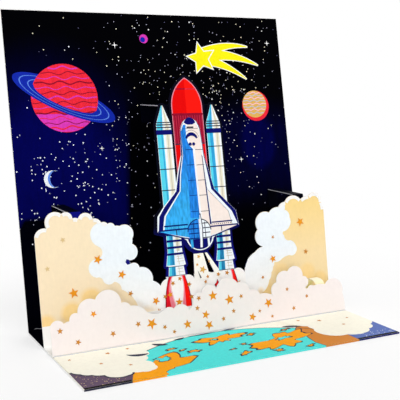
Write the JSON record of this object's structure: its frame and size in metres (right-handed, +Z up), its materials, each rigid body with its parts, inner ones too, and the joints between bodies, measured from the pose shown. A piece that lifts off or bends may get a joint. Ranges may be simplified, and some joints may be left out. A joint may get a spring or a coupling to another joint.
{
  "type": "pop up card",
  "caption": "Open pop-up greeting card standing on its base: folded starry cover, die-cut cloud layers with a space shuttle lifting off, and the paper struts that raise them.",
  "frame": {"origin": "middle of the base's underside, halfway between its front edge and the spine", "axes": "+Z up, +X to the viewer's right along the spine, +Y from the viewer towards the back"},
  "size_m": [0.1343, 0.0958, 0.1314],
  "materials": {
    "printed_card": "printed, satin",
    "cloud_paper": "printed, satin",
    "white_paper": "printed, satin",
    "strut_paper": "printed, satin",
    "strap_paper": "printed, satin"
  },
  "bodies": {
    "root": {"card_cover": "printed_card", "rear_layer": "cloud_paper", "front_layer": "white_paper", "left_strut": "strut_paper", "right_strut": "strut_paper", "shuttle_strut": "strut_paper", "bowed_strap": "strap_paper"}
  },
  "joints": []
}
